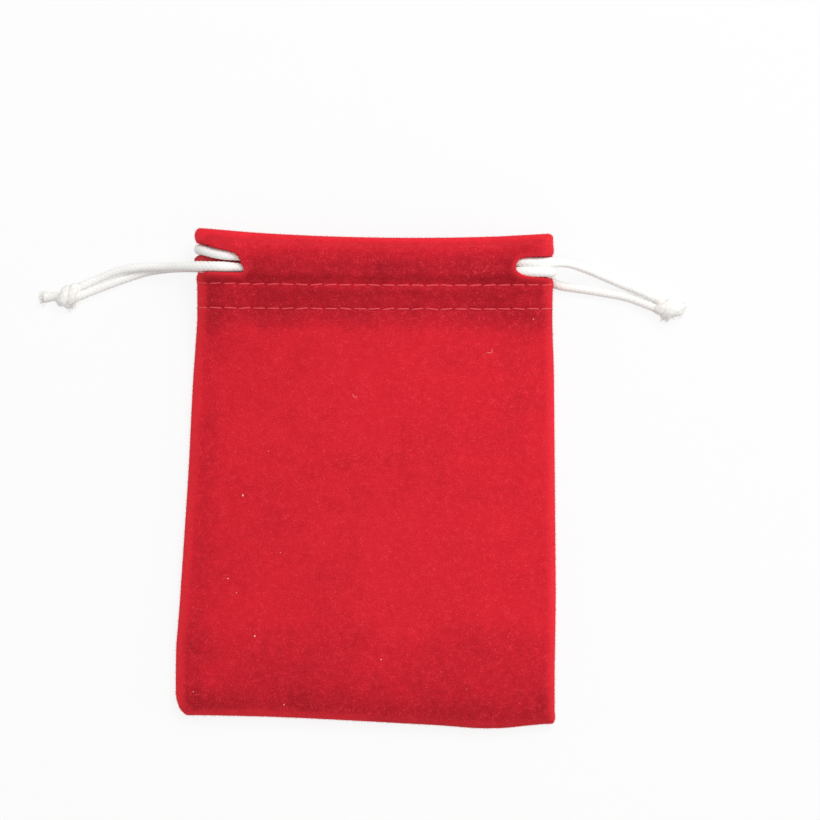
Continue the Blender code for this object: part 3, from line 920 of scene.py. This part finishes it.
# %% [markdown]
# Velvet is a forest of short upright threads. Seen from above it swallows light and looks
# deep; where the threads lean, or where the cloth curves away and they are seen from the
# side, it looks lighter. The finish follows that: cloudy patches of leaning pile in three
# sizes, a fine grain and faint lines of the knitted ground both ways. Shade is painted in
# too: darker valleys along the sewn hem, a darker header below the mouth edge, a darker
# foot, a strip inside the left fold and the right half. Highlights are painted as well: a
# lighter rim at the folds and slot edges, and pale glints on the tops of the pile. The sheen
# of the shader adds the soft glow at grazing angles.

# %% Velvet
# Reds of the pile: DEEP_RED takes the darker leaning pile and the painted shade, BRIGHT_RED the lighter pile
# and the painted rim highlight, the glint red the painted glints.
DEEP_RED = (0.26, 0.006, 0.013, 1)
RED = (0.69, 0.0145, 0.029, 1)
BRIGHT_RED = (0.93, 0.034, 0.052, 1)
PAINTED_GLINT_RED = (0.86, 0.062, 0.085, 1)
SHADOW = 0.4

velvet = Finish("velvet_pile", 0.88, Sheen_Weight=0.12, Sheen_Roughness=0.4,
                Sheen_Tint=(1, 0.3, 0.35, 1), Specular_IOR_Level=0.12)
drop = velvet.attribute("drop")
rim = velvet.attribute("rim")
patches = velvet.noise(26 * MM, 4.0, 0.6)
clouds = velvet.noise(7 * MM, 4.0, 0.65)
tufts = velvet.noise(1.6 * MM, 3.0, 0.65)
grain = velvet.noise(0.36 * MM, 2.0, 0.7)
wales = velvet.noise(0.55 * MM, 1.0, 0.5, (1, 0.25, 0.4))
courses = velvet.noise(0.6 * MM, 1.0, 0.5, (0.25, 1, 0.4))
lean = (patches - 0.5) * 0.3 + (clouds - 0.5) * 0.36 + (tufts - 0.5) * 0.26
lean = lean + (grain - 0.5) * 0.34 + (wales - 0.5) * 0.1 + (courses - 0.5) * 0.12
# Painted shade in the colour: below the rolled mouth edge, along the sewn hem, down the slope to the bottom,
# at the foot, inside the left fold and over the right half.
painted_header_shade = drop.between(0, 8 * MM) * (1 - drop.between(8 * MM, 10 * MM)) * 0.12
hem = drop.between(1 * MM, 9 * MM) * (1 - drop.between(18 * MM, 24.5 * MM)) * 0.28
painted_low_shade = drop.between(91 * MM, 103 * MM) * 0.13
foot = drop.between(109 * MM, 117 * MM) * 0.2
sideways = velvet.node("ShaderNodeSeparateXYZ", None, {"Vector": velvet.place()})
shade = velvet.attribute("left") * 0.11 + sideways.between(5 * MM, 38 * MM) * 0.045
light = 1 + lean - painted_header_shade - hem - painted_low_shade - foot - shade
ground = velvet.colours((light - SHADOW) * (1 / (1 - SHADOW)), DEEP_RED, RED)
lit = velvet.colours(light.between(1.0, 1.5), ground, BRIGHT_RED)
# Painted glints: pale red speckles where the grain and tufts are highest, standing in for light caught on
# the tops of the pile.
painted_glints = (grain * 1.4 + tufts * 0.6).between(1.0, 1.5)
with_painted_glints = velvet.colours(painted_glints * 0.7, lit, PAINTED_GLINT_RED)
# Painted highlight: the colour goes towards bright red on the rim.
velvet.wire("Base Color", velvet.colours(rim * 0.6, with_painted_glints, BRIGHT_RED))
velvet.bump(grain * 0.9 + tufts * 0.35 + wales * 0.15 + courses * 0.15, 0.16 * MM)

BACKING_RED = (0.40, 0.018, 0.026, 1)
BACKING_PALE = (0.55, 0.045, 0.055, 1)
backing = Finish("velvet_backing", 0.8, Specular_IOR_Level=0.2)
backing.mottle(BACKING_RED, BACKING_PALE, 0.1 * MM, 0.5 * MM, 1.0, 0.5, (1, 0.3, 0.6))
print("velvet:", len(velvet.tree.nodes), "nodes, backing:", len(backing.tree.nodes))

# %% [markdown]
# The cord is soft white cotton. Its strands are all one colour; what separates them is the
# shadow and a little dust in the furrows, so the braid's own height darkens them.

# %% Cotton cord
cotton = Finish("cotton_braid", 0.72, Sheen_Weight=0.15, Sheen_Roughness=0.5, Specular_IOR_Level=0.25)
furrow = 1 - cotton.attribute("relief").between(0.1, 0.75)
dust = cotton.noise(3 * MM, 2.0)
strands = cotton.noise(0.12 * MM, 2.0, 0.6)
COTTON = (0.97, 0.962, 0.94, 1)
COTTON_SHADE = (0.82, 0.785, 0.72, 1)
FIBRE_SHADE = (0.86, 0.84, 0.79, 1)
soft = cotton.colours(furrow * 0.62 + (strands - 0.5) * 0.2 + (dust - 0.5) * 0.2, COTTON, COTTON_SHADE)
cotton.wire("Base Color", soft)
cotton.bump(strands, 0.03 * MM)
for piece in (*cords.values(), *knots.values()):
    piece.data.materials.append(cotton.material)
cotton_end = Finish("cotton_fibre", 0.8, Sheen_Weight=0.2, Specular_IOR_Level=0.2)
cotton_end.mottle(COTTON, FIBRE_SHADE, 0, 0.5 * MM)
print("cotton on", len(cords) + len(knots), "pieces")

# %% [markdown]
# The skin now gets its thickness. Solidify moves the pile side out and the backing side in
# by half each, and gives the backing its own material.

# %% Thickness of the cloth
def as_plain(piece):
    """Applies what is live on a piece, so that a plain mesh is left."""
    bpy.context.view_layer.update()
    seen = piece.evaluated_get(bpy.context.evaluated_depsgraph_get())
    data = bpy.data.meshes.new_from_object(seen)
    data.name = piece.name
    piece.modifiers.clear()
    piece.data = data
    return piece


skin.data.materials.append(velvet.material)
skin.data.materials.append(backing.material)
wall = skin.modifiers.new("thickness", "SOLIDIFY")
wall.thickness = SKIN
wall.offset = 0
wall.material_offset = 1
pouch = as_plain(skin)
pouch.data.shade_smooth()
print("pouch:", sum(len(p.vertices) - 2 for p in pouch.data.polygons), "triangles")

# %% [markdown]
# Each row is sewn with a lockstitch: the thread lies on the cloth for about 2.9 mm, dives
# through a needle hole and comes up again. Geometry Nodes makes the stitches from one line
# laid round the pouch on the cloth: it removes two edges out of every twelve, so that the
# rest become separate threads, lets their ends dip, and gives them a round section.

# %% Line for a row of stitches
THREAD = 0.38 * MM


def stitch_line(name, drop):
    """A line round the pouch, with the way out of the cloth kept on each point."""
    mesh = bmesh.new()
    out = mesh.verts.layers.float_vector.new("out")
    verts = []
    count = STITCHES * EDGES_PER_STITCH
    for i in range(count):
        share = (i / EDGES_PER_STITCH + FIRST_STITCH) / STITCHES
        girth = read_off(walks(drop)[-1] * (share % 1), walks(drop), ROUND)
        place, across, facing = skin_point(drop, girth, CLOTH / 2, None, None)
        side = (1 if across > 0 else -1) * sqrt(max(0.0, 1 - facing ** 2))
        way = Vector((side, 0, facing))
        level = 0.45 * cos(2 * pi * (stitch_phase(drop, girth) - HOLE_PHASE))
        place.z += groove(drop) * facing * (level + 0.2)
        vert = mesh.verts.new(place + way * (SKIN / 2 + THREAD * 0.22))
        vert[out] = way
        verts.append(vert)
    for a, b in zip(verts, verts[1:] + verts[:1]):
        mesh.edges.new((a, b))
    print(name, STITCHES, "stitches")
    return finish_mesh(name, mesh, False)


# %% Recipe for the stitches
def stitch_recipe(material):
    recipe = Recipe("sew_stitches", Line="Geometry", Thread="Float", Edges_per_stitch="Int",
                    Gap_edges="Int", Dip="Float", Tilt="Float", Seed="Int")
    geo, given = recipe.geo, recipe.given
    index, each = geo("InputIndex"), given["Edges_per_stitch"]
    empty = index.sum("FLOORED_MODULO", each).sum("GREATER_THAN", each - given["Gap_edges"] - 0.5)
    chance = recipe.draw(-1.0, 1.0, given["Seed"], ID=(index / each).sum("FLOOR"))
    marked = geo("StoreNamedAttribute", {"data_type": "FLOAT", "domain": "POINT"},
                 Geometry=given["Line"], Name="chance", Value=chance)
    dashes = geo("DeleteGeometry", {"domain": "EDGE", "mode": "EDGE_FACE"}, Geometry=marked, Selection=empty)
    curves = geo("MeshToCurve", Mesh=dashes)
    middle = recipe.node("GeometryNodeSplineParameter", out="Factor") * 2.0 - 1.0
    ends = middle.sum("ABSOLUTE").sum("POWER", 6.0)
    down = recipe.node("ShaderNodeVectorMath", {"operation": "SCALE"},
                       {0: recipe.read("out", "FLOAT_VECTOR"), "Scale": ends * given["Dip"] * -1.0})
    aside = recipe.vector(Y=middle * recipe.read("chance") * given["Tilt"])
    shift = recipe.node("ShaderNodeVectorMath", {"operation": "ADD"}, {0: down, 1: aside})
    sewn = geo("SetPosition", Geometry=curves, Offset=shift)
    width = given["Thread"] * 0.5 * (1 - ends * 0.35)
    return recipe.serve(recipe.pipe(sewn, 8, width, True), material)


def cook(piece, recipe, **values):
    """Runs a geometry tree on a piece and leaves a plain mesh."""
    added = piece.modifiers.new("nodes", "NODES")
    added.node_group = recipe.tree
    for item in recipe.tree.interface.items_tree:
        if item.in_out == "INPUT" and item.name.replace(" ", "_") in values:
            added[item.identifier] = values[item.name.replace(" ", "_")]
    return as_plain(piece)


THREAD_RED = (0.82, 0.092, 0.118, 1)
THREAD_DEEP = (0.70, 0.057, 0.076, 1)
thread = Finish("sewing_thread", 0.6, Specular_IOR_Level=0.2)
thread.mottle(THREAD_DEEP, THREAD_RED, 0.05 * MM, 0.22 * MM, 1.0, 0.5, (1, 0.6, 1))
sewing = stitch_recipe(thread.material)
rows = {}
for name, drop, seed in (("stitches_upper", UPPER_ROW, 3), ("stitches_lower", LOWER_ROW, 8)):
    line = stitch_line(name, drop)
    rows[name] = cook(line, sewing, Thread=THREAD, Edges_per_stitch=EDGES_PER_STITCH,
                      Gap_edges=GAP_EDGES, Dip=0.3 * MM, Tilt=0.18 * MM, Seed=seed)
    print(name, len(rows[name].data.polygons), "faces")

# %% [markdown]
# Cut cotton comes apart into fibres, and velvet sheds its outline into them. One recipe
# grows both: it scatters points over a surface, more of them where the surface's own
# "fluff" number is high, and puts a short bent fibre on each, leaning at random. At the
# cut ends of the cord the fibres are long and spread wide; on the velvet they are as short
# as its pile, close together along the folds and rare on the flat.

# %% Recipe for fibres
def fibre_recipe():
    recipe = Recipe("grow_fibres", Surface="Geometry", Density="Float", Length="Float",
                    Thickness="Float", Spread="Float", Bend="Float", Parts="Int", Sides="Int",
                    Seed="Int", Material="Material")
    geo, given = recipe.geo, recipe.given
    points = geo("DistributePointsOnFaces", {"distribute_method": "RANDOM"}, Mesh=given["Surface"],
                 Density=given["Density"] * recipe.read("fluff"), Seed=given["Seed"])
    line = geo("CurvePrimitiveLine", End=(0, 0, 1))
    parts = geo("ResampleCurve", Curve=line, Count=given["Parts"])
    along = recipe.node("GeometryNodeSplineParameter", out="Factor")
    bent = geo("SetPosition", Geometry=parts, Offset=recipe.vector(X=along * along * given["Bend"]))
    thin = (1 - along * 0.7) * (given["Thickness"] * 0.5 / given["Length"])
    fibre = recipe.pipe(bent, given["Sides"], thin)
    size = recipe.draw(0.45, 1.15, given["Seed"]) * given["Length"]
    placed = geo("InstanceOnPoints", Points=points, Instance=fibre, Rotation=points.beside("Rotation"),
                 Scale=size)
    low, high = [recipe.vector(X=given["Spread"] * way, Y=given["Spread"] * way, Z=pi * way)
                 for way in (-1.0, 1.0)]
    turn = recipe.node("FunctionNodeRandomValue", {"data_type": "FLOAT_VECTOR"},
                       {0: low, 1: high, "Seed": given["Seed"] + 7.0})
    leaning = geo("RotateInstances", Instances=placed, Rotation=turn)
    return recipe.serve(leaning, given["Material"])


growing = fibre_recipe()
print("fibres:", len(growing.tree.nodes), "nodes")

# %% Frayed ends of the cords
TUFT_RADIUS = 1.1 * MM
TUFTS = {
    "yarns": dict(Density=9e6, Length=1.6 * MM, Thickness=0.42 * MM, Bend=0.35, Sides=7),
    "fibres": dict(Density=22e6, Length=1.7 * MM, Thickness=0.07 * MM, Bend=0.5, Sides=3),
}


def lay_down(piece):
    """Keeps every fibre on or above the table."""
    for vert in piece.data.vertices:
        vert.co.z = max(vert.co.z, LOWEST)


frays = {}
for side, ends in tail_ends.items():
    mesh = bmesh.new()
    fluff = mesh.verts.layers.float.new("fluff")
    for place, way in ends:
        aim = Matrix.Translation(place - way * 0.1 * MM) @ way.to_track_quat("Z", "Y").to_matrix().to_4x4()
        bmesh.ops.create_circle(mesh, cap_ends=True, segments=12, radius=TUFT_RADIUS, matrix=aim)
    for vert in mesh.verts:
        vert[fluff] = 1.0
    made = []
    for name, grown in TUFTS.items():
        made.append(cook(finish_mesh(name, mesh.copy()), growing, Spread=1.1, Parts=6, Seed=5,
                         Material=cotton_end.material, **grown))
    mesh.free()
    mesh = bmesh.new()
    for part in made:
        mesh.from_mesh(part.data)
        bpy.data.objects.remove(part)
    frays[side] = finish_mesh("fray_" + side, mesh)
    frays[side].data.materials.append(cotton_end.material)
    lay_down(frays[side])
    print("fray", side, len(frays[side].data.polygons), "faces")

# %% Pile standing out along the folds
pile = Finish("velvet_fibre", 0.85, Sheen_Weight=0.2, Sheen_Tint=(1, 0.3, 0.35, 1), Specular_IOR_Level=0.1)
pile.mottle(RED, BRIGHT_RED, 0, 2 * MM)


def pile_bed(name, wanted):
    """The pile side of the pouch as a bare mesh, with how much fluff each point grows."""
    mesh = bmesh.new()
    mesh.from_mesh(pouch.data)
    bmesh.ops.delete(mesh, geom=[f for f in mesh.faces if f.material_index != 0], context="FACES")
    rims = mesh.verts.layers.float["rim"]
    ways = mesh.verts.layers.float["facing"]
    fluff = mesh.verts.layers.float.new("fluff")
    for vert in mesh.verts:
        vert[fluff] = wanted(vert[rims], vert[ways])
    return finish_mesh(name, mesh)


beds = {
    "pile_edge": (lambda rim, way: max(0.0, min(rim, 1.0) - 0.15), 13e6, 21),
    "pile_front": (lambda rim, way: 1.0 if way > 0 else 0.3, 1.4e6, 33),
}
piles = {}
for name, (wanted, density, seed) in beds.items():
    piles[name] = cook(pile_bed(name, wanted), growing, Density=density, Length=0.34 * MM,
                       Thickness=0.045 * MM, Spread=0.7, Bend=0.3, Parts=2, Sides=3, Seed=seed,
                       Material=pile.material)
    lay_down(piles[name])
    print(name, sum(len(p.vertices) - 2 for p in piles[name].data.polygons), "triangles")

# %% [markdown]
# Velvet catches lint. The photograph shows a few pale specks and two or three short hairs
# on the front, so they lie there too, each on the cloth below it. The specks are little
# balls made uneven by a noise; its seed is fixed, because it is different in every run
# otherwise.

# %% Lint
SPECKS = (
    (-30.1, -4.1, 0.6), (-27.2, -38.6, 0.5), (3.8, -44.3, 0.36), (-20.1, -55.6, 0.38),
    (-42.4, -52.4, 0.3), (24.8, -51.7, 0.26), (-20.9, -18.1, 0.26), (-23.8, 6.8, 0.24),
    (41.1, 39.1, 0.34), (-22.2, 48.9, 0.34), (-33.8, -24.5, 0.4), (-31.7, -28.0, 0.3),
)
HAIRS = ((30.7, 30.9, 1.5, 0.5), (-2.8, 20.1, 1.2, -0.6))
LINT_SEED = 7
LINT_PINK = (0.95, 0.42, 0.36, 1)
LINT_PALE = (0.9, 0.62, 0.52, 1)


def on_front(x, y):
    """The place on the front of the cloth above x and y."""
    low, high = 0.0, LENGTH
    for _ in range(30):
        drop = (low + high) / 2
        left, right = sides(drop)
        across = (2 * x - left - right) / (right - left)
        low, high = (drop, high) if place_y(drop, across) > y else (low, drop)
    girth = across * (right - left) / 2 / ((right - left) / 2 - edge_half(drop))
    place, _, _ = skin_point(drop, max(-1.0, min(1.0, girth)), CLOTH / 2, None, None)
    return Vector((x, y, place.z + SKIN / 2))


noise.seed_set(LINT_SEED)
mesh = bmesh.new()
for x, y, size in SPECKS:
    spot = on_front(x * MM, y * MM) + Vector((0, 0, size * 0.15 * MM))
    shape = Matrix.Translation(spot) @ Matrix.Rotation(x, 4, "Z") @ Matrix.Diagonal((1, 0.7, 0.5, 1))
    bmesh.ops.create_icosphere(mesh, subdivisions=2, radius=size * MM / 2, matrix=shape)
for vert in mesh.verts:
    vert.co += noise.noise_vector(vert.co / (0.2 * MM)) * 0.05 * MM
for x, y, size, turn in HAIRS:
    line = []
    for i in range(9):
        t = i / 8 - 0.5
        along = Matrix.Rotation(turn, 3, "Z") @ Vector((t * size, 0.35 * size * t * t * 4, 0))
        line.append(on_front((x + along.x) * MM, (y + along.y) * MM) + Vector((0, 0, 0.06 * MM)))
    rings = []
    for place, (u, v) in zip(line, carried_frames(line)):
        rings.append([mesh.verts.new(place + (u * cos(a) + v * sin(a)) * 0.045 * MM)
                      for a in (0, 2 * pi / 3, 4 * pi / 3)])
    loft(mesh, rings)
    mesh.faces.new(rings[0][::-1])
    mesh.faces.new(rings[-1])
lint = finish_mesh("lint", mesh)
fluffy = Finish("lint", 0.9, Specular_IOR_Level=0.1)
fluffy.mottle(LINT_PINK, LINT_PALE, 0, 0.3 * MM)
lint.data.materials.append(fluffy.material)
print("lint:", len(SPECKS), "specks and", len(HAIRS), "hairs")

# %% [markdown]
# The pouch lies on a plain white table in soft light. The floor shows itself white to the
# camera and keeps a part of its own shading, so that a faint shadow stays under the pouch.
# The light comes mostly from above and from the mouth side, a little from the right, where
# the photographed rim is brightest, and least from the left.

# %% Floor and light
SHOWN_WHITE = 0.86
WHITE = (1, 1, 1, 1)
ROOM_LIGHT = 0.34
mesh = bmesh.new()
bmesh.ops.create_grid(mesh, x_segments=1, y_segments=1, size=3)
floor = finish_mesh("floor", mesh, False)
floor.location.z = -LOWEST
paint = bpy.data.materials.new("white_table")
paint.use_nodes = True
paint.node_tree.nodes.clear()
table = Graph(paint.node_tree)
matt = table.node("ShaderNodeBsdfDiffuse", None, {"Color": (0.86, 0.86, 0.86, 1)})
glow = table.node("ShaderNodeEmission", None, {"Color": WHITE})
seen = table.node("ShaderNodeLightPath", out="Is Camera Ray")
for rays in (seen.beside("Is Glossy Ray"), seen.beside("Is Transmission Ray")):
    seen = seen.sum("MAXIMUM", rays)
table.end("ShaderNodeOutputMaterial",
          table.node("ShaderNodeMixShader", None, {0: seen * SHOWN_WHITE, 1: matt, 2: glow}))
floor.data.materials.append(paint)


def soft_lamp(name, place, size, watts):
    lamp = bpy.data.objects.new(name, bpy.data.lights.new(name, "AREA"))
    lamp.data.size = size
    lamp.data.energy = watts
    lamp.location = place
    lamp.rotation_euler = (-Vector(place)).to_track_quat("-Z", "Y").to_euler()
    bpy.context.scene.collection.objects.link(lamp)


soft_lamp("window", (0.30, 0.55, 0.72), 0.5, 4.6)
soft_lamp("ceiling", (0.0, 0.0, 1.0), 0.8, 2.9)
soft_lamp("wall_right", (0.8, -0.05, 0.22), 0.5, 1.8)
soft_lamp("wall_left", (-0.8, -0.05, 0.2), 0.5, 0.5)

world = bpy.data.worlds.new("room")
bpy.context.scene.world = world
world.use_nodes = True
world.node_tree.nodes.clear()
room = Graph(world.node_tree)
light = room.node("ShaderNodeBackground", None, {"Color": WHITE, "Strength": ROOM_LIGHT})
shown = room.node("ShaderNodeBackground", None, {"Color": WHITE, "Strength": 1.0})
eye = room.node("ShaderNodeLightPath", out="Is Camera Ray")
room.end("ShaderNodeOutputWorld", room.node("ShaderNodeMixShader", None, {0: eye, 1: light, 2: shown}))
bpy.context.scene.view_settings.view_transform = "Standard"

# %% [markdown]
# The last cell hangs every piece on the root, and hides the packed solids that the cords,
# knots and pouch stand in for.

# %% Hang the pieces on the root
for side in ("left", "right"):
    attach(cords[side], "root")
    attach(knots[side], "root")
    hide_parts("drawstring_" + side)
    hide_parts("knot_" + side)
    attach(frays[side], "root")
    line = cord_lines[side]
    tuple(line[0])
    round(line_length(line), 3)
    [tuple(p) for p in line]
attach(pouch, "root")
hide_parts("pouch")
on_cloth = [*rows.values(), *piles.values(), lint]
for piece in on_cloth:
    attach(piece, "root")

bpy.context.view_layer.update()
